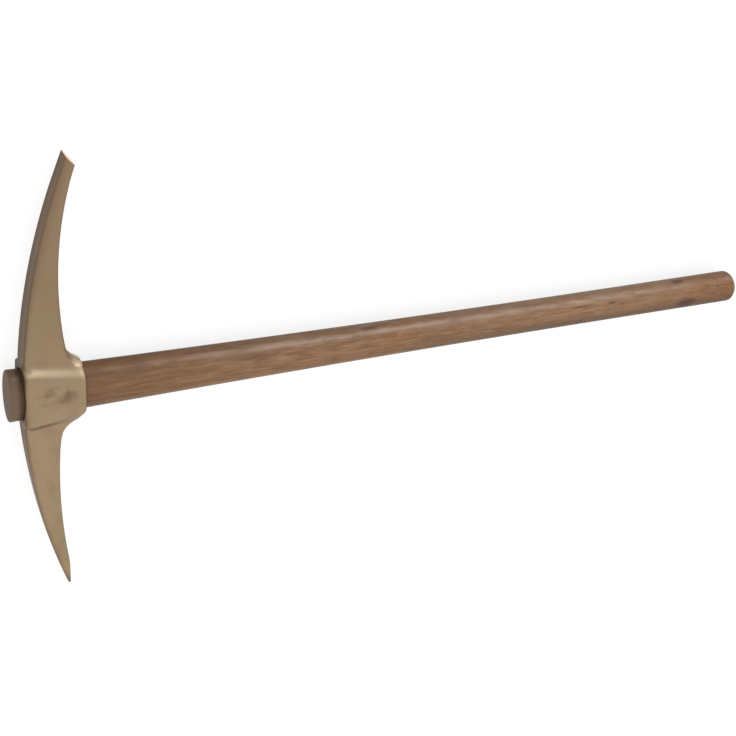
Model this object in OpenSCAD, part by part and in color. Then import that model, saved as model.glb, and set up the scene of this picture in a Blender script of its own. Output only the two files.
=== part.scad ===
/* [Handle] */
// Overall length of the handle
handle_len = 900; // [750:5:1000]
// Diameter of the round grip
grip_d = 37; // [32:0.5:40]
// Length of the straight round grip
grip_len = 190; // [150:5:400]
// Length of the dome at the end of the grip
grip_dome = 11.5; // [4:0.5:16]
// Height of the oval neck where it leaves the collar
neck_h = 52.5; // [46:0.5:58]
// How much wider than the grip the neck is, so that the head passes over the grip
neck_gain = 0.8; // [0.4:0.1:3]
// How quickly the flare settles into the grip
flare_power = 1.9; // [1.6:0.1:3]
// Growth of the oval's height from the collar to the butt
seat_rise_h = 7.4; // [3:0.2:9]
// Growth of the oval's width from the collar to the butt
seat_rise_w = 1.4; // [0.6:0.2:3]
// Length of the butt that stands out of the eye
butt_len = 13.5; // [8:0.5:20]
// Rounding of the butt's edge
butt_round = 2; // [1:0.25:4]

/* [Eye and cheeks] */
// Length of the eye along the handle
eye_len = 65; // [54:1:75]
// Gap between the seat of the handle and the eye
fit_gap = 0.3; // [0.2:0.05:0.6]
// Chamfer at the mouth of the eye
mouth_chamfer = 1.6; // [0.5:0.1:2.5]
// Wall of the cheeks at the mouth of the eye
cheek_wall = 3.2; // [3:0.1:8]
// Wall of the collar above and below the neck
collar_wall = 4.4; // [2.6:0.1:6]
// Half height of the flat cheek at its outer edge, on the chisel side
cheek_chisel = 28.5; // [27:0.5:34]
// Half height of the flat cheek at its outer edge, on the point side
cheek_point = 27; // [26:0.5:34]
// Half height of the flat cheek at the rim of the collar
cheek_rim = 15; // [12:0.5:19]
// Length of the ramp from the flat cheek down to the arm
cheek_ramp = 14; // [8:0.5:16]
// How far the arms are set back from the mouth of the eye
set_back = 0.25; // [0.25:0.25:4]
// Reach of the fillet from the collar along the chisel arm
chisel_fillet = 4.3; // [2.5:0.1:5]
// Reach of the fillet from the collar along the point arm
point_fillet = 5; // [2.5:0.1:6]

/* [Chisel arm] */
// Reach of the cutting edge from the middle of the handle
chisel_reach = 265.5; // [220:0.5:300]
// Radius of the arm's outer curve
chisel_curve = 760; // [500:5:1000]
// Width of the arm at its root
chisel_root_w = 44.5; // [34:0.5:48]
// Width of the arm at its end
chisel_end_w = 13; // [8:0.5:18]
// Thickness of the arm at its end, which is the length of the cutting edge
chisel_end_t = 21.5; // [12:0.5:26]
// How quickly the arm narrows behind its end
chisel_power = 1.6; // [1:0.1:2]
// Angle of the ground bevel behind the cutting edge, from the line of the handle
bevel_angle = 48; // [20:1:60]

/* [Point arm] */
// Reach of the point from the middle of the handle
point_reach = 256.5; // [210:0.5:290]
// Radius of the arm's outer curve
point_curve = 795; // [500:5:1000]
// Lean of the outer curve towards the grip, for each millimetre beyond the cheek
point_lean = 0.03; // [0:0.01:0.08]
// Width of the arm at its root
point_root_w = 38; // [30:0.5:44]
// Width that the long taper would have at the point
point_end_w = 8; // [5:0.5:12]
// Thickness that the long taper would have at the point
point_end_t = 5; // [4:0.5:14]
// Growth of the ground point for each millimetre of length
point_growth = 0.33; // [0.2:0.01:0.5]
// Size of the blunt tip
tip_size = 2.8; // [2:0.2:5]

/* [Arms] */
// Distance of the arms' roots from the middle of the handle
root_at = 50; // [46:1:60]
// Thickness of both arms at their roots
root_t = 29; // [24:0.5:38]
// Rounding of the long edges
edge_r = 4.5; // [1:0.25:6]
// Rounding of the collar's rim
rim_r = 3.5; // [1:0.25:4]
// Extra rounding of the shoulders that the collar has beyond the cheeks
shoulder_gain = 8; // [0:0.5:9]
// Extra rounding of the outer edges half way down the ramps
ramp_gain = 5; // [0:0.5:6]

/* [Hidden] */

bronze = [0.62, 0.54, 0.41];
timber = [0.55, 0.41, 0.31];
oval_sides = 48;
corner_steps = 4;
grip_fn = 96;
// The loft ends a hair inside the round grip, which it enters by the lap
lap = 3;
lap_skin = 0.2;
over = 1;

seat_len = eye_len + butt_len;
grip_end = handle_len - butt_len;
grip_start = grip_end - grip_len;
neck_w = grip_d + neck_gain;

// Half sizes of the seat at x, measured from the mouth of the eye towards the grip
function seat_half(neck, rise, x) = neck / 2 + rise / 2 * (eye_len - x) / seat_len;
function seat_half_h(x) = seat_half(neck_h, seat_rise_h, x);
function seat_half_w(x) = seat_half(neck_w, seat_rise_w, x);

eye_half_h = seat_half_h(0) + fit_gap;
eye_half_w = seat_half_w(0) + fit_gap;
cheek_half = eye_half_w + cheek_wall;
collar_half = neck_h / 2 + fit_gap + collar_wall;

// Share of the collar left where its side runs out to the arm
side_share = 0.9;
// Beyond the cheek the fan of rows closes over this length
fan_fade = 30;
// Soft turn from the long taper to the ground point
point_blend = 1.2;
// Largest rounding of a row, as a share of its width and of its half thickness
round_w = 0.4;
round_h = 0.8;
// Length of the boss's blend into an arm, which takes close rows
root_zone = 22;
rows_root = 18;
rows_arm = 14;
rows_end = 8;
rows_cheek = 4;

function smooth(t) = let (c = min(max(t, 0), 1)) c * c * c * (c * (6 * c - 15) + 10);
function soft_min(a, b, k) = (a + b - sqrt((a - b) * (a - b) + k * k)) / 2;
function span(a, b, n) = [for (i = [0 : n - 1]) a + (b - a) * i / n];

// Values of the arm that row u lies on: the chisel arm is on the plus side
function reach(u) = u >= 0 ? chisel_reach : point_reach;
function curve(u) = u >= 0 ? chisel_curve : point_curve;
function cheek(u) = u >= 0 ? cheek_chisel : cheek_point;
function fillet(u) = u >= 0 ? chisel_fillet : point_fillet;

// How far row u has come from the root (0) to the end of its arm (1)
function along(u) = (abs(u) - root_at) / (reach(u) - root_at);
// How much of the boss is left at row u
function boss_share(u) = 1 - smooth((abs(u) - cheek(u)) / cheek_ramp);

// Rows fan in from the mouth to the rim
function fan(u) = (cheek(u) - cheek_rim) / eye_len;
function fan_share(u) =
    abs(u) < cheek(u) ? abs(u) / cheek(u) : max(0, 1 - (abs(u) - cheek(u)) / fan_fade);
function lean(u) = sign(u) * fan(u) * fan_share(u);

// Row whose inner end lies at the collar's side on the rim
function collar_row(u) =
    let (f = fan(u) * eye_len)
    (collar_half + f * (1 + cheek(u) / fan_fade)) / (1 + f / fan_fade);
function collar_share(u) =
    let (d = abs(u) - collar_row(u))
    let (rim_fillet = fillet(u) * (1 - side_share) / side_share)
    d > 0 ? side_share * exp(-d / fillet(u)) : 1 - (1 - side_share) * exp(d / rim_fillet);

function point_shift(u) = u < 0 ? point_lean * max(0, -u - cheek_point) : 0;
function outer_x(u) =
    let (bend = curve(u) - sqrt(curve(u) * curve(u) - u * u))
    set_back * (1 - boss_share(u)) + bend + point_shift(u);

function ground(u) = tip_size + point_growth * (point_reach - abs(u));
function point_size(u, root, end) =
    soft_min(root + (end - root) * along(u), ground(u), point_blend);

function arm_w(u) =
    u >= 0
    ? chisel_end_w + (chisel_root_w - chisel_end_w) * pow(max(1 - along(u), 0), chisel_power)
    : point_size(u, point_root_w, point_end_w);

function arm_t(u) =
    u >= 0
    ? root_t + (chisel_end_t - root_t) * along(u)
    : point_size(u, root_t, point_end_t);

function row_width(u) =
    let (arm = arm_w(u))
    let (to_rim = eye_len - outer_x(u) - arm)
    arm + to_rim * collar_share(u);
function row_half(u) =
    let (arm = arm_t(u) / 2)
    arm + (cheek_half - arm) * boss_share(u);

// Rounding of the outer edges, which swells on the ramps
function outer_r(u) =
    let (b = boss_share(u))
    edge_r + ramp_gain * 4 * b * (1 - b);
// Rounding of the inner edges, which swells where the collar stands beyond the boss
function inner_r(u) =
    let (b = boss_share(u))
    edge_r + (rim_r - edge_r) * b + shoulder_gain * (collar_share(u) - b);

function corner(cx, cz, r, start) =
    [for (k = [0 : corner_steps])
        let (a = start + 90 * k / corner_steps)
        [cx + r * cos(a), cz + r * sin(a)]];

// One row of the head: a rounded rectangle from the outer curve to the inner one
function row(u) =
    let (x0 = outer_x(u))
    let (w = row_width(u))
    let (h = row_half(u))
    let (r_max = min(round_w * w, round_h * h))
    let (r0 = min(outer_r(u), r_max))
    let (r1 = min(inner_r(u), r_max))
    let (x1 = x0 + w)
    let (outline = concat(
        corner(x0 + r0, r0 - h, r0, 180),
        corner(x1 - r1, r1 - h, r1, 270),
        corner(x1 - r1, h - r1, r1, 0),
        corner(x0 + r0, h - r0, r0, 90)))
    [for (p = outline) [p[0], u - lean(u) * (p[0] - x0), p[1]]];

point_turn = point_reach - (point_end_w - tip_size) / point_growth - root_zone;
rows = concat(
    span(-point_reach, -point_turn, rows_end),
    span(-point_turn, -cheek_point - root_zone, rows_arm),
    span(-cheek_point - root_zone, -cheek_point, rows_root),
    span(-cheek_point, 0, rows_cheek),
    span(0, cheek_chisel, rows_cheek),
    span(cheek_chisel, cheek_chisel + root_zone, rows_root),
    span(cheek_chisel + root_zone, chisel_reach + over, rows_arm),
    [chisel_reach + over]);

// Skin over a list of rings that all have the same number of points
module loft(rings) {
    n = len(rings[0]);
    last = len(rings) - 1;
    sides = [for (i = [0 : last - 1], j = [0 : n - 1], half = [0, 1])
        let (k = (j + 1) % n)
        half == 0
        ? [i * n + j, i * n + k, (i + 1) * n + k]
        : [i * n + j, (i + 1) * n + k, (i + 1) * n + j]];
    first_cap = [for (j = [n - 1 : -1 : 0]) j];
    last_cap = [for (j = [0 : n - 1]) last * n + j];
    polyhedron([for (r = rings) each r], concat(sides, [first_cap, last_cap]));
}

function oval(x, half_h, half_w) =
    [for (i = [0 : oval_sides - 1])
        let (a = -360 * i / oval_sides)
        [x, half_h * cos(a), half_w * sin(a)]];

function eye_ring(x) = oval(x, seat_half_h(x) + fit_gap, seat_half_w(x) + fit_gap);

// The tapered oval hole that the seat of the handle fills, with its chamfered mouth
module eye() {
    mouth = mouth_chamfer + over;
    loft([
        oval(-over, eye_half_h + mouth, eye_half_w + mouth),
        eye_ring(mouth_chamfer),
        eye_ring(eye_len + over)]);
}

// Everything beyond the ground bevel, which starts at the cutting edge on the outer curve
module bevel() {
    translate([outer_x(chisel_reach), chisel_reach, -cheek_half])
        rotate([0, 0, -bevel_angle])
        translate([-chisel_end_w, 0, 0])
        cube([chisel_reach, chisel_reach, 2 * cheek_half]);
}

butt_steps = 5;
flare_steps = 20;

function butt_ring(k) =
    let (a = 90 * k / butt_steps)
    let (x = -butt_len + butt_round * (1 - sin(a)))
    let (cut = butt_round * (1 - cos(a)))
    oval(x, seat_half_h(x) - cut, seat_half_w(x) - cut);

function flare_ring(k) =
    let (s = k / flare_steps)
    let (f = pow(1 - s, flare_power))
    let (x = eye_len + (grip_start - eye_len) * s)
    let (r = grip_d / 2 - lap_skin)
    oval(x, r + (neck_h / 2 - r) * f, r + (neck_w / 2 - r) * f);

module grip() {
    r = grip_d / 2;
    translate([grip_start, 0, 0]) rotate([0, 90, 0]) rotate_extrude($fn = grip_fn) intersection() {
        square([r, grip_len]);
        union() {
            square([r, grip_len - grip_dome]);
            translate([0, grip_len - grip_dome]) scale([1, grip_dome / r]) circle(r = r, $fn = grip_fn);
        }
    }
}

// The frame lies on the lower cheek, under the middle of the eye
module place() {
    translate([-eye_len / 2, 0, cheek_half]) children();
}

module pick_head() {
    color(bronze) place() difference() {
        loft([for (u = rows) row(u)]);
        eye();
        bevel();
    }
}

module handle() {
    color(timber) place() {
        loft(concat(
            [for (k = [butt_steps : -1 : 0]) butt_ring(k)],
            [for (k = [0 : flare_steps]) flare_ring(k)],
            [oval(grip_start + lap, grip_d / 2 - lap_skin, grip_d / 2 - lap_skin)]));
        grip();
    }
}

pick_head();
handle();
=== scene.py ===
"""Pick axe: a cast bronze head that slides on a turned hardwood handle, lying on a studio floor."""

import logging
import math
from dataclasses import dataclass
from enum import Enum
from functools import reduce
from operator import mul
from typing import Any, Sequence, Union

import bmesh
import bpy
import numpy as np
from mathutils import Matrix, Quaternion, Vector


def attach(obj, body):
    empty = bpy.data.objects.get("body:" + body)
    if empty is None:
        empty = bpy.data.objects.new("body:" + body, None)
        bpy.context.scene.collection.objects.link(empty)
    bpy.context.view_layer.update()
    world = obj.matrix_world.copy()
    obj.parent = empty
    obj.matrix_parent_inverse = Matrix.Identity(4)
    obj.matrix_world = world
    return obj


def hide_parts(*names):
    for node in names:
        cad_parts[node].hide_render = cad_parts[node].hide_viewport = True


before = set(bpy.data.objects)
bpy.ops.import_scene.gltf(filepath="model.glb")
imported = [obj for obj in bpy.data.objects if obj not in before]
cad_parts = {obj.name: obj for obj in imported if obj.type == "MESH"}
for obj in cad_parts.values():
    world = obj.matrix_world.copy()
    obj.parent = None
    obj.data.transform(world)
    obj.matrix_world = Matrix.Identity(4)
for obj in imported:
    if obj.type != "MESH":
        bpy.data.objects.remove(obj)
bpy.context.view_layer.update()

MM = 0.001
IMAGE_PX = 736

logging.basicConfig(level=logging.INFO, format="%(message)s")
log = logging.getLogger("pick_axe")

Ring = np.ndarray
Number = Union[float, np.ndarray]
Key = Union[str, int]
Colour = tuple[float, float, float, float]
Pair = tuple[float, float]
Triple = tuple[float, float, float]
Term = Union["Sock", float]


class Body(Enum):
    """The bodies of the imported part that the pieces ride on."""

    HANDLE = "handle"
    HEAD = "head"


class Slot(Enum):
    """The material slots of the record."""

    BRONZE = "bronze"
    TIMBER = "timber"


def srgb(red: int, green: int, blue: int) -> Colour:
    """Turns a screen colour into the linear colour that a shader takes.

    Args:
        red: Red from 0 to 255.
        green: Green from 0 to 255.
        blue: Blue from 0 to 255.

    Returns:
        The linear colour with full alpha.
    """
    def linear(byte: int) -> float:
        """One channel from its screen byte."""
        part = byte / 255
        return part / 12.92 if part <= 0.04045 else ((part + 0.055) / 1.055) ** 2.4

    return (linear(red), linear(green), linear(blue), 1.0)


def smooth(share: Number) -> Number:
    """Eases a share from 0 to 1, flat at both ends."""
    c = np.clip(share, 0, 1)
    return c * c * c * (c * (6 * c - 15) + 10)


def soft_min(a: Number, b: Number, turn: float) -> Number:
    """The smaller of two values, with a rounded turn between them."""
    return (a + b - np.sqrt((a - b) ** 2 + turn * turn)) / 2


def show(mesh: bpy.types.Mesh, name: str) -> bpy.types.Object:
    """Puts a mesh into the scene.

    Args:
        mesh: The mesh.
        name: The name of its object.

    Returns:
        The object.
    """
    made = bpy.data.objects.new(name, mesh)
    bpy.context.scene.collection.objects.link(made)
    return made


class Sock:
    """A node's output; arithmetic on it adds Math nodes to its tree."""

    def __init__(self, graph: "Graph", socket: bpy.types.NodeSocket) -> None:
        """Wraps a socket of the graph."""
        self.graph = graph
        self.socket = socket

    def _math(self, operation: str, *terms: Term) -> "Sock":
        """Adds one Math node on the terms."""
        return self.graph.node("ShaderNodeMath", {"operation": operation}, dict(enumerate(terms)))

    def __add__(self, other: Term) -> "Sock":
        """This value plus the other."""
        return self._math("ADD", self, other)

    def __radd__(self, other: Term) -> "Sock":
        """The other value plus this."""
        return self._math("ADD", other, self)

    def __sub__(self, other: Term) -> "Sock":
        """This value less the other."""
        return self._math("SUBTRACT", self, other)

    def __rsub__(self, other: Term) -> "Sock":
        """The other value less this."""
        return self._math("SUBTRACT", other, self)

    def __mul__(self, other: Term) -> "Sock":
        """This value times the other."""
        return self._math("MULTIPLY", self, other)

    def __rmul__(self, other: Term) -> "Sock":
        """The other value times this."""
        return self._math("MULTIPLY", other, self)

    def __truediv__(self, other: Term) -> "Sock":
        """This value over the other."""
        return self._math("DIVIDE", self, other)

    def __rtruediv__(self, other: Term) -> "Sock":
        """The other value over this."""
        return self._math("DIVIDE", other, self)

    def __abs__(self) -> "Sock":
        """This value without its sign."""
        return self._math("ABSOLUTE", self)

    def fract(self) -> "Sock":
        """The part of this value behind the point."""
        return self._math("FRACT", self)

    def most(self, other: Term) -> "Sock":
        """The larger of this value and the other."""
        return self._math("MAXIMUM", self, other)


class Graph:
    """The node tree of a material or a world, with one method that adds any node."""

    def __init__(self, owner: Union[bpy.types.Material, bpy.types.World]) -> None:
        """Empties the owner's tree and keeps it.

        Args:
            owner: The material or the world.
        """
        owner.use_nodes = True
        self.tree = owner.node_tree
        self.tree.nodes.clear()

    def node(
        self,
        kind: str,
        settings: dict[str, Any] | None = None,
        sockets: dict[Key, Any] | None = None,
        out: Key = 0,
    ) -> Sock:
        """Adds a node, sets it up and links it.

        Args:
            kind: The node's type.
            settings: Its properties, set before any socket.
            sockets: The value or the link of each input, by name or place.
            out: The output to return.

        Returns:
            The wrapped output, or the first input of a node that has no output.
        """
        made = self.tree.nodes.new(kind)
        for name, value in (settings or {}).items():
            setattr(made, name, value)
        for key, value in (sockets or {}).items():
            if isinstance(value, Sock):
                self.tree.links.new(value.socket, made.inputs[key])
            else:
                made.inputs[key].default_value = value
        return Sock(self, made.outputs[out] if len(made.outputs) else made.inputs[0])

    def coordinate(self, name: str) -> Sock:
        """One of the coordinates of the point that is shaded."""
        return self.node("ShaderNodeTexCoord", None, None, name)

    def split(self, vector: Sock) -> tuple[Sock, Sock, Sock]:
        """The x, y and z of a vector."""
        x = self.node("ShaderNodeSeparateXYZ", None, {0: vector})
        return x, *(Sock(self, part) for part in x.socket.node.outputs[1:])

    def length(self, x: Term, y: Term, z: Term) -> Sock:
        """How long the vector of three parts is."""
        joined = self.node("ShaderNodeCombineXYZ", None, {0: x, 1: y, 2: z})
        return self.node("ShaderNodeVectorMath", {"operation": "LENGTH"}, {0: joined}, "Value")

    def stretch(self, vector: Sock, scale: Sequence[float]) -> Sock:
        """The vector times a fixed scale on each axis."""
        return self.node("ShaderNodeVectorMath", {"operation": "MULTIPLY"}, {0: vector, 1: scale})

    def layers(
        self, base: Union[Sock, Colour], coats: Sequence[tuple[Sock, "Coat"]]
    ) -> Union[Sock, Colour]:
        """Lays coats over a base, one after another.

        Args:
            base: The lowest colour.
            coats: Each coat from the lowest to the top one, behind the mask of where it lies.

        Returns:
            The colour that shows.
        """
        top = base
        for mask, coat in coats:
            cover = mask if coat.share == 1 else mask * coat.share
            top = self.node(
                "ShaderNodeMix",
                {"data_type": "RGBA", "blend_type": "MIX", "clamp_factor": True},
                {0: cover, 6: top, 7: coat.colour},
                2,
            )
        return top

    def bump(self, height_mm: Sock) -> Sock:
        """A normal from a height in millimetres."""
        sockets = {"Strength": 1.0, "Distance": MM, "Height": height_mm}
        return self.node("ShaderNodeBump", None, sockets)


class At(Enum):
    """What is known of the point that is shaded."""

    # Its place in millimetres and the parts of its normal
    X, Y, Z, NX, NY, NZ = range(6)
    # On the head: height over its middle, and distances behind its outer curve and past its marks
    LEVEL, BEHIND, POINT, CHISEL, CHEEK = range(6, 11)
    # On the head: shares of the painted shade along the outer edge, the eye's mouth and the stains, and
    # how it faces the bevel
    EDGE, MOUTH, STAIN, BEVEL = range(11, 15)
    # On the handle: distance past the mouth of the eye, and shares of a year ring and a knot
    EYE, RING, KNOT = range(15, 18)
    # Noises of the bronze and of the timber
    CLOUD, PATCH, SMEAR, SAND, GRINDING = range(18, 23)
    DRIFT, SWAY, STREAK, BLOTCH, FLECK, FIGURE, FIBRE, PORE = range(23, 31)


@dataclass(frozen=True)
class Coat:
    """A colour over others, and how much of them it covers where its mask is full."""

    colour: Colour
    share: float = 1.0


@dataclass(frozen=True)
class Ease:
    """A smooth change from the least to the most while a value goes from start to stop."""

    value: At
    start: float
    stop: float
    least: float = 0.0
    most: float = 1.0
    unsigned: bool = False

    def of(self, value: Sock) -> Sock:
        """Eases a value.

        Args:
            value: The value that goes from start to stop, which may lie below start.

        Returns:
            The eased value.
        """
        return value.graph.node(
            "ShaderNodeMapRange",
            {"interpolation_type": "SMOOTHSTEP"},
            {
                "Value": abs(value) if self.unsigned else value,
                "From Min": self.start,
                "From Max": self.stop,
                "To Min": self.least,
                "To Max": self.most,
            },
        )


Mask = tuple[Ease, ...]


@dataclass(frozen=True)
class Cloud:
    """Cloudy noise from 0 to 1, with its number of features in a millimetre along each axis."""

    value: At
    pitch: Triple
    detail: float = 2.0
    roughness: float = 0.5
    warp: float = 0.0

    def over(self, place: Sock) -> Sock:
        """The noise at a place.

        Args:
            place: The place in millimetres.

        Returns:
            The noise.
        """
        return place.graph.node(
            "ShaderNodeTexNoise",
            {"noise_dimensions": "3D"},
            {
                "Vector": place.graph.stretch(place, self.pitch),
                "Scale": 1.0,
                "Detail": self.detail,
                "Roughness": self.roughness,
                "Distortion": self.warp,
            },
            "Fac",
        )


class Spot:
    """The point that is shaded, with all that is known of it."""

    def __init__(self, graph: Graph, noises: Sequence[Cloud]) -> None:
        """Starts with the point's place, its normal and the noises.

        Args:
            graph: The material's graph.
            noises: The noises of the finish.
        """
        self.graph = graph
        place = graph.stretch(graph.coordinate("Object"), (1 / MM,) * 3)
        parts = (*graph.split(place), *graph.split(graph.coordinate("Normal")))
        self.known = dict(zip(At, parts))
        for noise in noises:
            self.known[noise.value] = noise.over(place)

    def __getitem__(self, value: At) -> Sock:
        """One of the values."""
        return self.known[value]

    def mask(self, *eases: Ease) -> Sock:
        """The product of some eases of the values."""
        return reduce(mul, (ease.of(self[ease.value]) for ease in eases))

    def swing(self, noise: At, amount: float) -> Sock:
        """A noise about 0, with the amount as its whole swing."""
        return (self[noise] - 0.5) * amount


# Dark cast skin, also used as painted shade on the sides and along the outer edge
CAST_SKIN_AND_SHADE = srgb(92, 72, 53)
# Tarnish of the stains and the tip, also used as painted shade on the boss's downward step
TARNISH_AND_SHADE = srgb(104, 88, 66)
RUBBED_METAL = srgb(146, 130, 108)
DARK_WOOD = srgb(100, 69, 48)
PALE_WOOD = srgb(180, 138, 102)
PORE_WOOD = srgb(62, 40, 27)


@dataclass(frozen=True)
class BronzeFinish:
    """Satin cast bronze, ground along the arms and rubbed where the boss slopes."""

    # Colours, from the lowest coat to the top one
    tone: Colour = srgb(164, 141, 112)
    # Painted shade, darker from the point side towards the chisel arm
    chisel_arm_shade: Coat = Coat(srgb(142, 121, 94), 0.8)
    olive: Coat = Coat(srgb(150, 133, 101), 0.45)
    ruddy: Coat = Coat(srgb(152, 122, 98))
    streaks: Coat = Coat(RUBBED_METAL, 0.06)
    stains: Coat = Coat(TARNISH_AND_SHADE, 0.55)
    # Painted shade along the outer edge of the faces
    edges: Coat = Coat(CAST_SKIN_AND_SHADE, 0.27)
    # Cast skin darkened into painted shade on the sides of the head
    skin: Coat = Coat(CAST_SKIN_AND_SHADE)
    # Tarnish on the tip, and painted shade on the downward step of the boss
    tarnish_and_shade: Coat = Coat(TARNISH_AND_SHADE)
    rubbed: Coat = Coat(RUBBED_METAL, 0.9)
    # Painted highlight on the steep part of the slope and the collar's shoulder
    slope_highlight: Coat = Coat(srgb(200, 178, 152))
    # Painted shadow in the gap around the mouth of the eye
    mouth_shadow: Coat = Coat(srgb(58, 46, 37), 0.8)
    # Ground bevel, lightened further by a painted highlight
    honed_with_highlight: Coat = Coat(srgb(222, 204, 186))

    noises: tuple[Cloud, ...] = (
        Cloud(At.CLOUD, (0.03, 0.018, 0.03), 3.0),
        Cloud(At.PATCH, (0.05, 0.03, 0.05)),
        Cloud(At.SMEAR, (0.06, 0.09, 0.06)),
        Cloud(At.SAND, (0.9, 0.9, 0.9), 3.0, 0.6),
        Cloud(At.GRINDING, (2.4, 0.07, 2.4), 3.0, 0.6),
    )

    # Tone of the arms, with painted shade that darkens the chisel arm
    chisel_arm_shade_run: Ease = Ease(At.Y, -30.0, 130.0)
    olive_cloud: Ease = Ease(At.CLOUD, 0.5, 0.62)
    ruddy_patch: Ease = Ease(At.PATCH, 0.5, 0.64, 0.0, 0.45)
    ruddy_end: Mask = (Ease(At.Y, 130.0, 230.0, 0.0, 0.65), Ease(At.PATCH, 0.3, 0.5))
    streak_tone: Ease = Ease(At.GRINDING, 0.3, 0.75)

    # Rubbed slope between the boss and the chisel arm, with a painted highlight where it turns steep
    slope: Mask = (
        Ease(At.NY, 0.2, 0.5),
        Ease(At.Y, 66.0, 54.0),
        Ease(At.Y, 18.0, 26.0),
        Ease(At.LEVEL, -4.0, 9.0, unsigned=True),
        Ease(At.NX, 0.85, 0.4),
        Ease(At.NX, -0.5, -0.1),
    )
    slope_highlight_wall: Ease = Ease(At.NZ, 0.75, 0.4, unsigned=True)

    # Cast skin with painted shade on the outer sides, thinner on top of the chisel arm, and painted
    # shade on the inner sides and the walls that face sideways
    outer: Mask = (
        Ease(At.NX, 0.45, 1.0, unsigned=True),
        Ease(At.LEVEL, 13.0, -13.0, 0.7, 0.95),
        Ease(At.Y, -30.0, -100.0, 1.0, 0.7),
    )
    chisel_top: Mask = (Ease(At.Y, 60.0, 220.0, 0.0, 0.18), Ease(At.LEVEL, -9.0, 6.0))
    inner: Mask = (Ease(At.NZ, 0.5, 0.12, 0.0, 0.9, unsigned=True), Ease(At.NX, -0.6, -0.1))

    # Painted shade on the downward step of the boss, tarnish on the tip of the point, and the ground
    # bevel with a painted highlight
    step: Mask = (Ease(At.NY, -0.2, -0.75, 0.0, 0.45), Ease(At.Y, 52.0, 44.0, unsigned=True))
    tip: Ease = Ease(At.POINT, 22.0, 0.0, 0.0, 0.5)
    bevel: Mask = (Ease(At.BEVEL, 0.97, 0.995), Ease(At.CHISEL, -30.0, -20.0))

    # Painted shade fading in from the outer edge, painted shadow around the mouth of the eye, and stains
    # on the cheeks
    edge_shade_width: Ease = Ease(At.Y, 60.0, 200.0, 5.0, 14.0)
    edge_shade_fade: Ease = Ease(At.EDGE, 1.0, 0.0)
    mouth_half: Pair = (30.0, 20.0)
    mouth_shadow_ring: Mask = (Ease(At.MOUTH, 1.14, 1.03), Ease(At.BEHIND, 5.0, 2.0))
    stain_half: Pair = (27.0, 14.0)
    stain_shift: float = 5.0
    stain_patch: Mask = (
        Ease(At.SMEAR, 0.4, 0.58),
        Ease(At.STAIN, 1.1, 0.4),
        Ease(At.CHEEK, 0.0, -3.0),
        Ease(At.NZ, 0.9, 0.99, unsigned=True),
    )

    # Gloss and relief
    metallic: float = 0.92
    roughness: float = 0.46
    grinding_rough: float = 0.1
    cloud_rough: float = 0.12
    skin_rough: float = 0.1
    stain_rough: float = 0.1
    rubbed_rough: float = 0.12
    sand_height: float = 0.012
    grinding_height: float = 0.004

    def measure(self, spot: Spot, head: "PickHead") -> None:
        """Finds where the point lies on the head.

        Args:
            spot: The point that is shaded, which gets the values.
            head: The head, whose sizes place the wear.
        """
        x, y, level = spot[At.X], spot[At.Y], spot[At.Z] - head.cheek_half
        lean = (-head.cheek_point - y).most(0.0) * head.point_lean
        behind = x + head.handle.eye_len / 2 - y * y / (2 * head.chisel_curve) - lean
        mouth_y, mouth_z = self.mouth_half
        stain_x, stain_y = self.stain_half
        turn = math.radians(head.bevel_angle)
        length = spot.graph.length
        spot.known.update({
            At.LEVEL: level,
            At.BEHIND: behind,
            At.POINT: y + head.point_reach,
            At.CHISEL: y - head.chisel_reach,
            At.CHEEK: abs(y) - head.cheek_point,
            At.EDGE: behind / spot.mask(self.edge_shade_width),
            At.MOUTH: length(0.0, y / mouth_y, level / mouth_z),
            At.STAIN: length(x / stain_x, (y - self.stain_shift) / stain_y, 0.0),
            At.BEVEL: spot[At.NX] * math.sin(turn) + spot[At.NY] * math.cos(turn),
        })

    def make(self, head: "PickHead") -> bpy.types.Material:
        """Builds the material.

        Args:
            head: The head, whose sizes place the wear.

        Returns:
            The finished material.
        """
        material = bpy.data.materials.new("satin_bronze")
        g = Graph(material)
        spot = Spot(g, self.noises)
        self.measure(spot, head)
        slope = spot.mask(*self.slope)
        # Sides of the head: cast skin with painted shade
        outer = spot.mask(*self.outer) * (1 - spot.mask(*self.chisel_top))
        skin_and_shade_sides = outer.most(spot.mask(*self.inner) * (1 - slope))
        stain = spot.mask(*self.stain_patch)
        colour = g.layers(self.tone, (
            # Painted shade over the chisel arm
            (spot.mask(self.chisel_arm_shade_run), self.chisel_arm_shade),
            (spot.mask(self.olive_cloud), self.olive),
            (spot.mask(self.ruddy_patch).most(spot.mask(*self.ruddy_end)), self.ruddy),
            (spot.mask(self.streak_tone), self.streaks),
            (stain, self.stains),
            # Painted shade along the outer edge
            (spot.mask(self.edge_shade_fade), self.edges),
            (skin_and_shade_sides, self.skin),
            # Painted shade on the boss's downward step, tarnish on the tip of the point
            (spot.mask(*self.step).most(spot.mask(self.tip)), self.tarnish_and_shade),
            (slope, self.rubbed),
            # Painted highlight where the slope turns steep
            (slope * spot.mask(self.slope_highlight_wall), self.slope_highlight),
            # Painted shadow around the mouth of the eye
            (spot.mask(*self.mouth_shadow_ring), self.mouth_shadow),
            # Ground bevel with a painted highlight
            (spot.mask(*self.bevel), self.honed_with_highlight),
        ))
        cast = spot.swing(At.GRINDING, self.grinding_rough) + spot.swing(At.CLOUD, self.cloud_rough)
        worn = skin_and_shade_sides * self.skin_rough + stain * self.stain_rough + slope * self.rubbed_rough
        relief = spot[At.SAND] * self.sand_height + spot[At.GRINDING] * self.grinding_height
        shader = g.node("ShaderNodeBsdfPrincipled", None, {
            "Base Color": colour,
            "Metallic": self.metallic,
            "Roughness": self.roughness + cast + worn,
            "Normal": g.bump(relief),
        })
        g.node("ShaderNodeOutputMaterial", None, {"Surface": shader})
        return material


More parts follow.
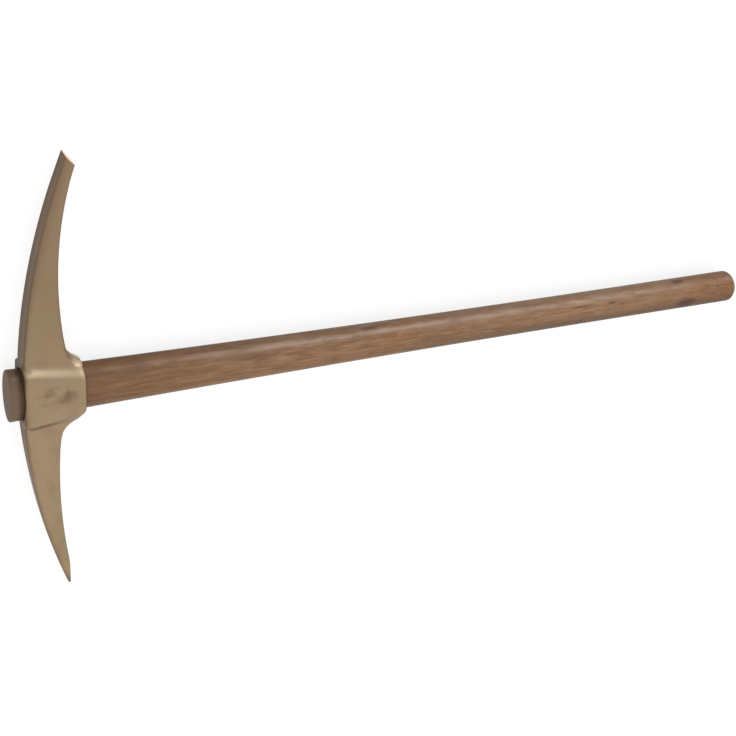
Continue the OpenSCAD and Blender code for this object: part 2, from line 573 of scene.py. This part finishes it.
@dataclass(frozen=True)
class Knot:
    """A dark knot in the timber, with its place and half sizes in millimetres."""

    middle: Triple
    half: Triple
    share: float
    fray: float = 1.2
    fade: Ease = Ease(At.KNOT, 1.2, 0.3)

    def mask(self, spot: Spot) -> Sock:
        """How much of the knot shows, within an outline that the flecks fray.

        Args:
            spot: The point that is shaded.

        Returns:
            1 in the middle of the knot and 0 outside it.
        """
        parts = zip((At.X, At.Y, At.Z), self.middle, self.half)
        away = spot.graph.length(*((spot[axis] - middle) / half for axis, middle, half in parts))
        spot.known[At.KNOT] = away + spot.swing(At.FLECK, self.fray)
        return spot.mask(self.fade)


@dataclass(frozen=True)
class TimberFinish:
    """Oiled hardwood with its grain along the handle."""

    # Colours of the wood, from the lowest coat to the top one
    body: Colour = srgb(138, 102, 72)
    light: Coat = Coat(srgb(164, 125, 91))
    amber: Coat = Coat(srgb(160, 108, 64), 0.5)
    pale: Coat = Coat(PALE_WOOD, 0.5)
    rings: Coat = Coat(DARK_WOOD, 0.18)
    flecks: Coat = Coat(DARK_WOOD, 0.4)
    waves: Coat = Coat(DARK_WOOD, 0.2)
    curls: Coat = Coat(PALE_WOOD, 0.22)
    fibres: Coat = Coat(DARK_WOOD, 0.2)
    pores: Coat = Coat(PORE_WOOD, 0.5)
    neck: Coat = Coat(DARK_WOOD, 0.4)
    # Painted shade on the handle's flank towards the chisel arm
    russet_shade: Coat = Coat(srgb(112, 70, 44))
    shade: Coat = Coat(srgb(88, 66, 48))
    knot: Colour = PORE_WOOD
    aged: Coat = Coat(srgb(114, 97, 82))
    end: Coat = Coat(srgb(142, 120, 102))
    # Painted shadow in the gap at the mouth of the eye
    mouth_gap_shadow: Coat = Coat(PORE_WOOD)

    noises: tuple[Cloud, ...] = (
        Cloud(At.DRIFT, (0.006, 0.02, 0.02)),
        Cloud(At.SWAY, (0.011, 0.05, 0.05)),
        Cloud(At.STREAK, (0.025, 0.25, 0.25), 4.0, 0.6),
        Cloud(At.BLOTCH, (0.012, 0.05, 0.05)),
        Cloud(At.FLECK, (0.055, 0.6, 0.6), 3.0, 0.6),
        Cloud(At.FIGURE, (0.042, 0.2, 0.2), 3.0, 0.55, 0.5),
        Cloud(At.FIBRE, (0.06, 2.6, 2.6), 3.0, 0.6),
        Cloud(At.PORE, (0.1, 3.6, 3.6)),
    )
    knots: tuple[Knot, ...] = (
        Knot((360.0, 20.0, 29.0), (14.0, 2.6, 4.0), 0.75),
        Knot((777.0, -5.2, 40.7), (17.0, 10.0, 8.0), 0.7),
        Knot((768.0, 18.3, 26.0), (11.0, 3.0, 4.5), 0.65),
        Knot((822.0, 11.2, 37.7), (2.0, 1.6, 1.6), 0.6),
        Knot((631.0, 11.0, 37.8), (19.0, 1.8, 1.8), 0.5),
        Knot((672.0, 10.4, 38.2), (7.0, 1.8, 1.8), 0.55),
    )

    # Year rings about the pith of the tree, in millimetres
    pith: Pair = (-64.0, -38.0)
    ring_pitch: float = 3.4
    drift_mm: float = 14.0
    sway_mm: float = 6.0
    late_wood: Mask = (Ease(At.RING, 0.3, 0.9), Ease(At.RING, 1.0, 0.92))

    # Grain
    light_streak: Ease = Ease(At.STREAK, 0.3, 0.72)
    amber_blotch: Ease = Ease(At.BLOTCH, 0.5, 0.7)
    fleck_tone: Ease = Ease(At.FLECK, 0.52, 0.7)
    wave_tone: Ease = Ease(At.FIGURE, 0.5, 0.3)
    curl_tone: Ease = Ease(At.FIGURE, 0.48, 0.68)
    fibre_tone: Ease = Ease(At.FIBRE, 0.5, 0.8)
    pore_tone: Ease = Ease(At.PORE, 0.63, 0.72)

    # Tone along the handle, and painted shade on its two flanks and on the dome of the grip
    pale_run: Mask = (Ease(At.X, 420.0, 640.0), Ease(At.X, 830.0, 720.0))
    grip_run: Ease = Ease(At.X, 700.0, 830.0)
    neck_run: Ease = Ease(At.X, 260.0, 20.0)
    chisel_flank_shade: Mask = (
        Ease(At.NZ, 0.42, 0.0),
        Ease(At.NZ, -0.95, -0.5),
        Ease(At.NY, 0.0, 0.5),
        Ease(At.X, 150.0, 400.0, 0.35, 0.1),
    )
    point_flank: Mask = (
        Ease(At.NY, 0.6, -0.7, 0.0, 0.82),
        Ease(At.NZ, 0.0, 0.5),
        Ease(At.X, 250.0, 640.0, 0.15, 1.0),
    )
    dome_face: Ease = Ease(At.NX, 0.6, 0.95, 0.0, 0.5)

    # Weathered butt, its end grain, and painted shadow in the gap where the head sits
    aged_run: Ease = Ease(At.EYE, 1.0, -4.0)
    aged_least: float = 0.5
    aged_fleck: float = 0.4
    end_face: Mask = (Ease(At.NX, 0.8, 0.97, unsigned=True), Ease(At.X, 0.0, -10.0))
    end_least: float = 0.4
    end_fibre: float = 0.8
    mouth_gap_shadow_run: Mask = (Ease(At.EYE, -8.0, -1.0, 0.0, 0.8), Ease(At.EYE, 12.0, 2.0))

    # Gloss and relief
    roughness: float = 0.42
    fibre_rough: float = 0.2
    pore_rough: float = 0.15
    end_rough: float = 0.2
    specular: float = 0.1
    coat_roughness: float = 0.4
    oiled: Mask = (Ease(At.FIGURE, 0.36, 0.62, 0.28, 0.58), Ease(At.X, 60.0, 300.0, 0.3, 1.0))
    rubbed: Mask = (Ease(At.NY, -0.6, 0.1, 0.0, 0.85), Ease(At.NZ, -0.4, 0.15))
    rubbed_least: float = 0.15
    fibre_height: float = 0.04
    pore_depth: float = 0.06
    ring_depth: float = 0.015

    def measure(self, spot: Spot, handle: "Handle") -> None:
        """Finds where the point lies on the handle and in the tree.

        Args:
            spot: The point that is shaded, which gets the values.
            handle: The handle, whose sizes place the rings and the grime.
        """
        out_y = spot[At.Y] - self.pith[0] + spot.swing(At.DRIFT, self.drift_mm)
        out_z = spot[At.Z] - handle.axis_z - self.pith[1] + spot.swing(At.SWAY, self.sway_mm)
        radius = spot.graph.length(0.0, out_y, out_z)
        spot.known[At.RING] = (radius / self.ring_pitch).fract()
        spot.known[At.EYE] = spot[At.X] + handle.eye_len / 2

    def make(self, handle: "Handle") -> bpy.types.Material:
        """Builds the material.

        Args:
            handle: The handle, whose sizes place the grain and the grime.

        Returns:
            The finished material.
        """
        material = bpy.data.materials.new("oiled_hardwood")
        g = Graph(material)
        spot = Spot(g, self.noises)
        self.measure(spot, handle)
        fleck, fibre = spot[At.FLECK], spot[At.FIBRE]
        late = spot.mask(*self.late_wood)
        pore = spot.mask(self.pore_tone)
        end = spot.mask(*self.end_face)
        colour = g.layers(self.body, (
            (spot.mask(self.light_streak), self.light),
            (spot.mask(self.amber_blotch), self.amber),
            (spot.mask(*self.pale_run), self.pale),
            (spot.mask(self.grip_run), self.amber),
            (late, self.rings),
            (spot.mask(self.fleck_tone), self.flecks),
            (spot.mask(self.wave_tone), self.waves),
            (spot.mask(self.curl_tone), self.curls),
            (spot.mask(self.fibre_tone), self.fibres),
            (pore, self.pores),
            (spot.mask(self.neck_run), self.neck),
            # Painted shade on the flank towards the chisel arm
            (spot.mask(*self.chisel_flank_shade), self.russet_shade),
            (spot.mask(*self.point_flank).most(spot.mask(self.dome_face)), self.shade),
            *((knot.mask(spot), Coat(self.knot, knot.share)) for knot in self.knots),
            (spot.mask(self.aged_run) * (self.aged_least + fleck * self.aged_fleck), self.aged),
            (end * (self.end_least + fibre * self.end_fibre), self.end),
            # Painted shadow in the gap at the mouth of the eye
            (spot.mask(*self.mouth_gap_shadow_run) * (1 - end), self.mouth_gap_shadow),
        ))
        rough = self.roughness + spot.swing(At.FIBRE, self.fibre_rough)
        gloss = spot.mask(*self.oiled) * (1 - end) * (self.rubbed_least + spot.mask(*self.rubbed))
        relief = fibre * self.fibre_height - pore * self.pore_depth - late * self.ring_depth
        shader = g.node("ShaderNodeBsdfPrincipled", None, {
            "Base Color": colour,
            "Roughness": rough + pore * self.pore_rough + end * self.end_rough,
            "Specular IOR Level": self.specular,
            "Coat Weight": gloss,
            "Coat Roughness": self.coat_roughness,
            "Normal": g.bump(relief),
        })
        g.node("ShaderNodeOutputMaterial", None, {"Surface": shader})
        return material


class Skin:
    """A closed skin over rings of points, in millimetres from the mouth of the eye."""

    CLOSING = (0.75, 0.5, 0.25, 0.0)
    MERGE = 1e-6
    THINNEST = 1e-7

    def __init__(self, rings: Sequence[Ring]) -> None:
        """Keeps the rings, which all have the same number of points."""
        self.rings = list(rings)

    @staticmethod
    def inward(ring: Ring, away: np.ndarray) -> np.ndarray:
        """Unit vectors from each point of a ring to its inside.

        Args:
            ring: The points of the ring.
            away: The direction in which the skin ends.

        Returns:
            One unit vector for each point.
        """
        step = np.roll(ring, -1, 0) - np.roll(ring, 1, 0)
        side = np.cross(away, step)
        side /= np.linalg.norm(side, axis=1)[:, None]
        middle = ring.mean(0) - ring
        return side * np.sign(np.sum(side * middle, 1).sum())

    def cap(self, rounding: float, steps: int, at_end: bool) -> None:
        """Rounds the edge of one end and closes it with rings towards its middle.

        Args:
            rounding: How far the round reaches along the side and the end.
            steps: The number of rings on the round.
            at_end: Whether this is the last ring's end or the first one's.
        """
        rings = self.rings if at_end else self.rings[::-1]
        edge, before = rings[-1], rings[-2]
        away = edge.mean(0) - before.mean(0)
        away /= np.linalg.norm(away)
        plane = np.cross(edge[len(edge) // 3] - edge[0], edge[2 * len(edge) // 3] - edge[0])
        plane *= np.sign(plane @ away) / np.linalg.norm(plane)
        back = before - edge
        back /= np.linalg.norm(back, axis=1)[:, None]
        start = edge + back * rounding
        inner = edge + self.inward(edge, plane) * rounding
        rings = rings[:-1]
        for share in np.linspace(0, 1, steps + 1):
            rest = 1 - share
            rings.append(rest ** 2 * start + 2 * share * rest * edge + share ** 2 * inner)
        middle = inner.mean(0)
        for share in self.CLOSING:
            rings.append(middle + (inner - middle) * share)
        self.rings = rings if at_end else rings[::-1]

    def mesh(self, name: str, lift: np.ndarray) -> bpy.types.Mesh:
        """Builds the mesh.

        Args:
            name: The mesh's name.
            lift: Where the mouth's middle lies in the part's frame, in millimetres.

        Returns:
            The mesh in metres, with smooth faces that look outwards.
        """
        count = len(self.rings[0])
        points = (np.concatenate(self.rings) + lift) * MM
        faces = []
        for row in range(len(self.rings) - 1):
            here, there = row * count, (row + 1) * count
            for j in range(count):
                k = (j + 1) % count
                faces.append((here + j, here + k, there + k, there + j))
        mesh = bpy.data.meshes.new(name)
        mesh.from_pydata(points.tolist(), [], faces)
        self.clean(mesh)
        return mesh

    @classmethod
    def clean(cls, mesh: bpy.types.Mesh) -> None:
        """Merges points that meet and turns all faces outwards.

        Args:
            mesh: The mesh, which is changed.
        """
        work = bmesh.new()
        work.from_mesh(mesh)
        bmesh.ops.remove_doubles(work, verts=work.verts, dist=cls.MERGE)
        bmesh.ops.dissolve_degenerate(work, edges=work.edges, dist=cls.THINNEST)
        bmesh.ops.recalc_face_normals(work, faces=work.faces)
        if work.calc_volume(signed=True) < 0:
            bmesh.ops.reverse_faces(work, faces=work.faces)
        work.to_mesh(mesh)
        work.free()
        mesh.polygons.foreach_set("use_smooth", [True] * len(mesh.polygons))


@dataclass
class Handle:
    """The turned handle, with sizes in millimetres from the mouth of the eye."""

    length: float = 900.0
    grip_d: float = 37.0
    grip_len: float = 190.0
    grip_dome: float = 11.5
    neck_h: float = 52.5
    neck_w: float = 37.8
    flare_power: float = 1.9
    seat_rise_h: float = 7.4
    seat_rise_w: float = 1.4
    butt_len: float = 13.5
    butt_round: float = 2.0
    eye_len: float = 65.0
    axis_z: float = 22.97962
    around: int = 144
    butt_steps: int = 6
    seat_steps: int = 34
    flare_steps: int = 120
    grip_steps: int = 50
    dome_steps: int = 24

    @property
    def seat_len(self) -> float:
        """Length of the butt and the seat in the eye."""
        return self.eye_len + self.butt_len

    def seat_half(self, x: Number) -> tuple[Number, Number]:
        """Half height and half width of the seat at x."""
        share = (self.eye_len - x) / self.seat_len / 2
        return self.neck_h / 2 + self.seat_rise_h * share, self.neck_w / 2 + self.seat_rise_w * share

    def oval(self, x: Number, half_h: Number, half_w: Number) -> Ring:
        """One oval ring across the handle."""
        a = np.linspace(0, 2 * math.pi, self.around, endpoint=False)
        return np.stack([np.zeros(self.around) + x, half_h * np.cos(a), half_w * np.sin(a)], 1)

    def rings(self) -> list[Ring]:
        """The rings from the butt to the end of the grip.

        Returns:
            The rings in their order.
        """
        rings = []
        for x in np.linspace(-self.butt_len, self.eye_len, self.seat_steps)[:-1]:
            rings.append(self.oval(x, *self.seat_half(x)))
        radius = self.grip_d / 2
        grip_end = self.length - self.butt_len
        grip_start = grip_end - self.grip_len
        for s in np.linspace(0, 1, self.flare_steps):
            left = (1 - s) ** self.flare_power
            half_h = radius + (self.neck_h / 2 - radius) * left
            half_w = radius + (self.neck_w / 2 - radius) * left
            rings.append(self.oval(self.eye_len + (grip_start - self.eye_len) * s, half_h, half_w))
        for x in np.linspace(grip_start, grip_end - self.grip_dome, self.grip_steps)[1:]:
            rings.append(self.oval(x, radius, radius))
        for a in np.linspace(0, math.pi / 2, self.dome_steps)[1:]:
            x = grip_end - self.grip_dome * (1 - math.sin(a))
            rings.append(self.oval(x, radius * math.cos(a), radius * math.cos(a)))
        return rings

    def build(self) -> bpy.types.Object:
        """Makes the handle, dresses it and sets it on its body.

        Returns:
            The handle's object.
        """
        skin = Skin(self.rings())
        skin.cap(self.butt_round, self.butt_steps, False)
        lift = np.array([-self.eye_len / 2, 0, self.axis_z])
        piece = show(skin.mesh("turned_handle", lift), "turned_handle")
        piece.data.materials.append(TimberFinish().make(self))
        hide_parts("handle")
        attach(piece, Body.HANDLE.value)
        return piece


@dataclass
class PickHead:
    """The cast head, with sizes in millimetres from the mouth of the eye.

    It is a skin over rows: rounded rectangles that start on the outer curve at u, which counts
    from the handle's axis to the chisel end, and reach to the inner curve.
    """

    handle: Handle
    fit_gap: float = 0.3
    mouth_round: float = 1.6
    rim_round: float = 0.5
    collar_wall: float = 4.4
    cheek_half: float = 22.97962
    cheek_chisel: float = 28.5
    cheek_point: float = 27.0
    cheek_rim: float = 15.0
    cheek_ramp: float = 14.0
    set_back: float = 0.25
    chisel_fillet: float = 4.3
    point_fillet: float = 5.0
    chisel_reach: float = 265.5
    chisel_curve: float = 760.0
    chisel_root_w: float = 44.5
    chisel_end_w: float = 13.0
    chisel_end_t: float = 21.5
    chisel_power: float = 1.6
    bevel_angle: float = 48.0
    bevel_lead: float = 45.0
    bevel_tries: int = 30
    point_reach: float = 256.5
    point_curve: float = 795.0
    point_lean: float = 0.03
    point_root_w: float = 38.0
    point_end_w: float = 8.0
    point_end_t: float = 5.0
    point_growth: float = 0.33
    point_blend: float = 1.2
    tip_size: float = 2.8
    root_at: float = 50.0
    root_t: float = 29.0
    edge_r: float = 4.5
    rim_r: float = 3.5
    shoulder_gain: float = 8.0
    ramp_gain: float = 5.0
    side_share: float = 0.9
    fan_fade: float = 30.0
    round_w: float = 0.4
    round_h: float = 0.8
    chisel_round: float = 0.5
    chisel_steps: int = 3
    tip_round: float = 0.9
    tip_steps: int = 4
    corner_steps: int = 8
    side_steps: int = 14
    face_steps: int = 10
    mouth_steps: int = 8
    eye_beyond: float = 4.0
    sharp_angle: float = 40.0
    ramp_run: float = 24.0
    tip_run: float = 40.0
    tip_rows: int = 26
    point_rows: int = 60
    ramp_rows: int = 46
    cheek_rows: int = 14
    chisel_rows: int = 56
    bevel_rows: int = 30

    def pick(self, u: float, chisel: float, point: float) -> float:
        """The chisel arm's value for a row on its side, or else the point arm's."""
        return chisel if u >= 0 else point

    def cheek(self, u: float) -> float:
        """Half height of the flat cheek at its outer edge."""
        return self.pick(u, self.cheek_chisel, self.cheek_point)

    def along(self, u: float) -> float:
        """How far row u has come from the root (0) to the end of its arm (1)."""
        reach = self.pick(u, self.chisel_reach, self.point_reach)
        return (abs(u) - self.root_at) / (reach - self.root_at)

    def boss_share(self, u: float) -> float:
        """How much of the boss is left at row u."""
        return 1 - float(smooth((abs(u) - self.cheek(u)) / self.cheek_ramp))

    def outer_x(self, u: float) -> float:
        """Where the outer curve lies.

        Args:
            u: Where the row starts on the outer curve.

        Returns:
            Its distance from the mouth along the handle.
        """
        curve = self.pick(u, self.chisel_curve, self.point_curve)
        lean = self.pick(u, 0.0, self.point_lean * max(0.0, -u - self.cheek_point))
        return self.set_back * (1 - self.boss_share(u)) + curve - math.sqrt(curve * curve - u * u) + lean

    def point_size(self, u: float, root: float, end: float) -> float:
        """A size of the point arm, from its long taper to its ground point."""
        ground = self.tip_size + self.point_growth * (self.point_reach - abs(u))
        return float(soft_min(root + (end - root) * self.along(u), ground, self.point_blend))

    def arm_w(self, u: float) -> float:
        """Width of the arm from its outer to its inner curve.

        Args:
            u: Where the row starts on the outer curve.

        Returns:
            The width.
        """
        if u < 0:
            return self.point_size(u, self.point_root_w, self.point_end_w)
        left = max(1 - self.along(u), 0.0) ** self.chisel_power
        return self.chisel_end_w + (self.chisel_root_w - self.chisel_end_w) * left

    def arm_t(self, u: float) -> float:
        """Thickness of the arm at row u."""
        chisel = self.root_t + (self.chisel_end_t - self.root_t) * self.along(u)
        return self.pick(u, chisel, self.point_size(u, self.root_t, self.point_end_t))

    def collar_share(self, u: float) -> float:
        """How far a row reaches from the arm's inner curve to the rim of the collar.

        Args:
            u: Where the row starts on the outer curve.

        Returns:
            0 for the inner curve, 1 for the rim.
        """
        collar_half = self.handle.neck_h / 2 + self.fit_gap + self.collar_wall
        fan = self.cheek(u) - self.cheek_rim
        at_rim = (collar_half + fan * (1 + self.cheek(u) / self.fan_fade)) / (1 + fan / self.fan_fade)
        fillet = self.pick(u, self.chisel_fillet, self.point_fillet)
        rim_fillet = fillet * (1 - self.side_share) / self.side_share
        beyond = abs(u) - at_rim
        if beyond > 0:
            return self.side_share * math.exp(-beyond / fillet)
        return 1 - (1 - self.side_share) * math.exp(beyond / rim_fillet)

    def lean(self, u: float) -> float:
        """How far a row leans for each millimetre from the outer curve.

        Args:
            u: Where the row starts on the outer curve.

        Returns:
            The lean of the fan at the collar and of the bevel at the chisel end.
        """
        cheek = self.cheek(u)
        fan = (cheek - self.cheek_rim) / self.handle.eye_len
        share = abs(u) / cheek if abs(u) < cheek else max(0.0, 1 - (abs(u) - cheek) / self.fan_fade)
        end = float(smooth((u - self.chisel_reach + self.bevel_lead) / self.bevel_lead))
        return math.copysign(fan * share, u) + end * math.tan(math.radians(self.bevel_angle))

    def row_width(self, u: float, x0: float, lean: float) -> float:
        """Width of a row, which on the bevel is found where it meets the inner curve.

        Args:
            u: Where the row starts on the outer curve.
            x0: Where the outer curve lies there.
            lean: How far the row leans for each millimetre.

        Returns:
            The width along the handle.
        """
        arm = self.arm_w(u)
        width = arm + (self.handle.eye_len - x0 - arm) * self.collar_share(u)
        if u > self.chisel_reach - self.bevel_lead:
            for _ in range(self.bevel_tries):
                y1 = u - lean * width
                width = self.outer_x(y1) + self.arm_w(y1) - x0
        return width

    def outline(self, x0: float, x1: float, half: float, radii: Pair) -> np.ndarray:
        """A rounded rectangle in its own plane.

        Args:
            x0: Its side on the outer curve.
            x1: Its side on the inner curve.
            half: Half its height.
            radii: The radii of its corners on the two curves.

        Returns:
            The points, each along the handle and up.
        """
        r0, r1 = radii
        corners = (
            (x0 + r0, r0 - half, r0, 180, self.side_steps),
            (x1 - r1, r1 - half, r1, 270, self.face_steps),
            (x1 - r1, half - r1, r1, 0, self.side_steps),
            (x0 + r0, half - r0, r0, 90, self.face_steps),
        )
        points: list[np.ndarray] = []
        for index, (cx, cz, r, start, steps) in enumerate(corners):
            a = np.radians(np.linspace(start, start + 90, self.corner_steps + 1))
            arc = np.stack([cx + r * np.cos(a), cz + r * np.sin(a)], 1)
            next_x, next_z, next_r, next_start, _ = corners[(index + 1) % len(corners)]
            b = math.radians(next_start)
            following = np.array([next_x + next_r * math.cos(b), next_z + next_r * math.sin(b)])
            side = [arc[-1] + (following - arc[-1]) * k / steps for k in range(1, steps)]
            points += [arc, np.array(side)]
        return np.concatenate(points)

    def row(self, u: float) -> Ring:
        """One row from the outer curve to the inner one.

        Args:
            u: Where the row starts on the outer curve.

        Returns:
            The points of the row.
        """
        x0 = self.outer_x(u)
        lean = self.lean(u)
        width = self.row_width(u, x0, lean)
        boss = self.boss_share(u)
        half = self.arm_t(u) / 2
        half += (self.cheek_half - half) * boss
        most = min(self.round_w * width, self.round_h * half)
        outer = self.edge_r + 4 * self.ramp_gain * boss * (1 - boss)
        inner = self.edge_r + (self.rim_r - self.edge_r) * boss
        inner += self.shoulder_gain * (self.collar_share(u) - boss)
        flat = self.outline(x0, x0 + width, half, (min(outer, most), min(inner, most)))
        return np.stack([flat[:, 0], u - lean * (flat[:, 0] - x0), flat[:, 1]], 1)

    def rows(self) -> list[float]:
        """Where the rows start, close together where the shape turns.

        Returns:
            The places on the outer curve, from the point to the chisel end.
        """
        marks = (
            (-self.point_reach, self.tip_rows),
            (-self.point_reach + self.tip_run, self.point_rows),
            (-self.cheek_point - self.ramp_run, self.ramp_rows),
            (-self.cheek_point, self.cheek_rows),
            (0.0, self.cheek_rows),
            (self.cheek_chisel, self.ramp_rows),
            (self.cheek_chisel + self.ramp_run, self.chisel_rows),
            (self.chisel_reach - self.bevel_lead, self.bevel_rows),
            (self.chisel_reach, 0),
        )
        rows: list[float] = []
        for (a, count), (b, _) in zip(marks, marks[1:]):
            rows += [a + (b - a) * k / count for k in range(count)]
        return rows + [self.chisel_reach]

    def eye_ring(self, x: float, grow: float, follow: float) -> Ring:
        """One ring of the eye.

        Args:
            x: Where it lies along the handle.
            grow: How far it stands out from the eye's wall.
            follow: 1 if it follows the outer curve, and 0 if it is flat.

        Returns:
            The points of the ring.
        """
        half_h, half_w = self.handle.seat_half(min(max(x, 0.0), self.handle.eye_len))
        oval = self.handle.oval(x, half_h + self.fit_gap + grow, half_w + self.fit_gap + grow)
        oval[:, 0] += follow * np.array([self.outer_x(y) for y in oval[:, 1]])
        return oval

    def eye(self, lift: np.ndarray) -> bpy.types.Object:
        """The tapered oval hole, flared at both ends so that its edges are round.

        Args:
            lift: Where the mouth's middle lies in the part's frame, in millimetres.

        Returns:
            The cutter's object.
        """
        mouth, rim, length = self.mouth_round, self.rim_round, self.handle.eye_len
        turns = np.linspace(0, math.pi / 2, self.mouth_steps)
        rings = [self.eye_ring(-self.eye_beyond, mouth, 1.0)]
        for a in turns:
            rings.append(self.eye_ring(mouth * (1 - math.cos(a)), mouth * (1 - math.sin(a)), 1.0))
        for a in turns[::-1]:
            rings.append(self.eye_ring(length - rim * (1 - math.cos(a)), rim * (1 - math.sin(a)), 0.0))
        rings.append(self.eye_ring(length + self.eye_beyond, rim, 0.0))
        first, last = (np.tile(ring.mean(0), (len(ring), 1)) for ring in (rings[0], rings[-1]))
        return show(Skin([first, *rings, last]).mesh("eye_cutter", lift), "eye_cutter")

    def pierce(self, piece: bpy.types.Object, cutter: bpy.types.Object) -> None:
        """Cuts the eye out of the head and removes the cutter.

        Args:
            piece: The head, whose mesh is replaced.
            cutter: The eye.
        """
        cut = piece.modifiers.new("eye", "BOOLEAN")
        cut.operation = "DIFFERENCE"
        cut.solver = "EXACT"
        cut.object = cutter
        bpy.context.view_layer.update()
        drawn = piece.evaluated_get(bpy.context.evaluated_depsgraph_get())
        mesh = bpy.data.meshes.new_from_object(drawn)
        piece.modifiers.clear()
        piece.data = mesh
        mesh.name = "cast_head"
        bpy.data.objects.remove(cutter)
        Skin.clean(mesh)
        mesh.set_sharp_from_angle(angle=math.radians(self.sharp_angle))
        weighted = piece.modifiers.new("weighted", "WEIGHTED_NORMAL")
        weighted.keep_sharp = True

    def build(self) -> bpy.types.Object:
        """Makes the head, cuts its eye, dresses it and sets it on its body.

        Returns:
            The head's object.
        """
        lift = np.array([-self.handle.eye_len / 2, 0, self.cheek_half])
        skin = Skin([self.row(u) for u in self.rows()])
        skin.cap(self.chisel_round, self.chisel_steps, True)
        skin.cap(self.tip_round, self.tip_steps, False)
        piece = show(skin.mesh("cast_head", lift), "cast_head")
        self.pierce(piece, self.eye(lift))
        piece.data.materials.clear()
        piece.data.materials.append(BronzeFinish().make(self))
        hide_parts("pick_head")
        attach(piece, Body.HEAD.value)
        return piece


@dataclass
class Studio:
    """The floor, the light and the camera, in metres, watts and degrees."""

    floor_size: float = 14.0
    floor_drop: float = 0.0004
    floor_tone: float = 0.3
    floor_glow: float = 0.8
    ambient: float = 0.8
    ambient_level: float = 0.55
    ambient_rise: float = 0.9
    strip_power: float = 24.0
    strip_at: Triple = (1.0, 1.5, 0.5)
    strip_aim: Triple = (0.25, 0.0, 0.02)
    strip_size: Pair = (1.5, 0.5)
    strip_roll: float = 38.0
    focal_px: float = 1700.0
    sensor_mm: float = 36.0
    camera_at: Triple = (-0.386598, 0.952324, 1.491502)
    camera_right: Triple = (0.908679, 0.083524, 0.409056)
    camera_up: Triple = (0.146522, 0.853662, -0.499792)
    camera_back: Triple = (-0.39094, 0.514086, 0.763467)

    @staticmethod
    def seen(g: Graph) -> Sock:
        """1 for what the camera, a reflection or clear glass sees, and else 0.

        Args:
            g: The graph of the floor or the world.

        Returns:
            The mask.
        """
        rays = ("Is Camera Ray", "Is Glossy Ray", "Is Transmission Ray")
        camera, glossy, clear = (g.node("ShaderNodeLightPath", None, None, ray) for ray in rays)
        return camera.most(glossy).most(clear)

    def floor(self) -> None:
        """Lays a plain white floor that keeps the shadow of the part."""
        half = self.floor_size / 2
        mesh = bpy.data.meshes.new("floor")
        corners = [(-half, -half), (half, -half), (half, half), (-half, half)]
        mesh.from_pydata([(x, y, -self.floor_drop) for x, y in corners], [], [(0, 1, 2, 3)])
        piece = show(mesh, "floor")
        material = bpy.data.materials.new("white_floor")
        g = Graph(material)
        matt = g.node("ShaderNodeBsdfDiffuse", None, {"Color": (self.floor_tone,) * 3 + (1.0,)})
        glow = g.node("ShaderNodeEmission", None, {"Strength": self.seen(g) * self.floor_glow})
        both = g.node("ShaderNodeAddShader", None, {0: matt, 1: glow})
        g.node("ShaderNodeOutputMaterial", None, {"Surface": both})
        mesh.materials.append(material)

    def sky(self) -> None:
        """Makes a white room that lights the part softly, most from above."""
        world = bpy.data.worlds.new("white_room")
        bpy.context.scene.world = world
        g = Graph(world)
        height = g.split(g.coordinate("Generated"))[2].most(0.0)
        light = self.ambient * (self.ambient_level + height * self.ambient_rise)
        strength = light + self.seen(g) * (1 - light)
        room = g.node("ShaderNodeBackground", None, {"Color": (1.0,) * 4, "Strength": strength})
        g.node("ShaderNodeOutputWorld", None, {"Surface": room})

    def strip(self) -> None:
        """Hangs the oblong soft lamp that draws the highlights."""
        light = bpy.data.lights.new("strip", "AREA")
        light.shape = "RECTANGLE"
        light.size, light.size_y = self.strip_size
        light.energy = self.strip_power
        made = bpy.data.objects.new("strip", light)
        made.location = self.strip_at
        facing = (Vector(self.strip_aim) - Vector(self.strip_at)).to_track_quat("-Z", "Y")
        roll = Quaternion((0.0, 0.0, 1.0), math.radians(self.strip_roll))
        made.rotation_euler = (facing @ roll).to_euler()
        made.visible_diffuse = False
        bpy.context.scene.collection.objects.link(made)

    def camera(self) -> None:
        """Sets up the camera at the viewing angle of the photograph."""
        data = bpy.data.cameras.new("camera")
        data.sensor_width = self.sensor_mm
        data.lens = self.focal_px / IMAGE_PX * self.sensor_mm
        made = bpy.data.objects.new("camera", data)
        turn = Matrix((self.camera_right, self.camera_up, self.camera_back)).transposed().to_4x4()
        made.matrix_world = Matrix.Translation(self.camera_at) @ turn
        bpy.context.scene.collection.objects.link(made)
        bpy.context.scene.camera = made

    def build(self) -> None:
        """Sets up the whole studio."""
        bpy.context.scene.view_settings.view_transform = "Standard"
        self.camera()
        self.floor()
        self.sky()
        self.strip()


def main() -> None:
    """Builds the studio and the pieces."""
    Studio().build()
    handle = Handle()
    for piece in (handle.build(), PickHead(handle).build()):
        log.info("%s: %d faces", piece.name, len(piece.data.polygons))


if __name__ == "__main__":
    main()
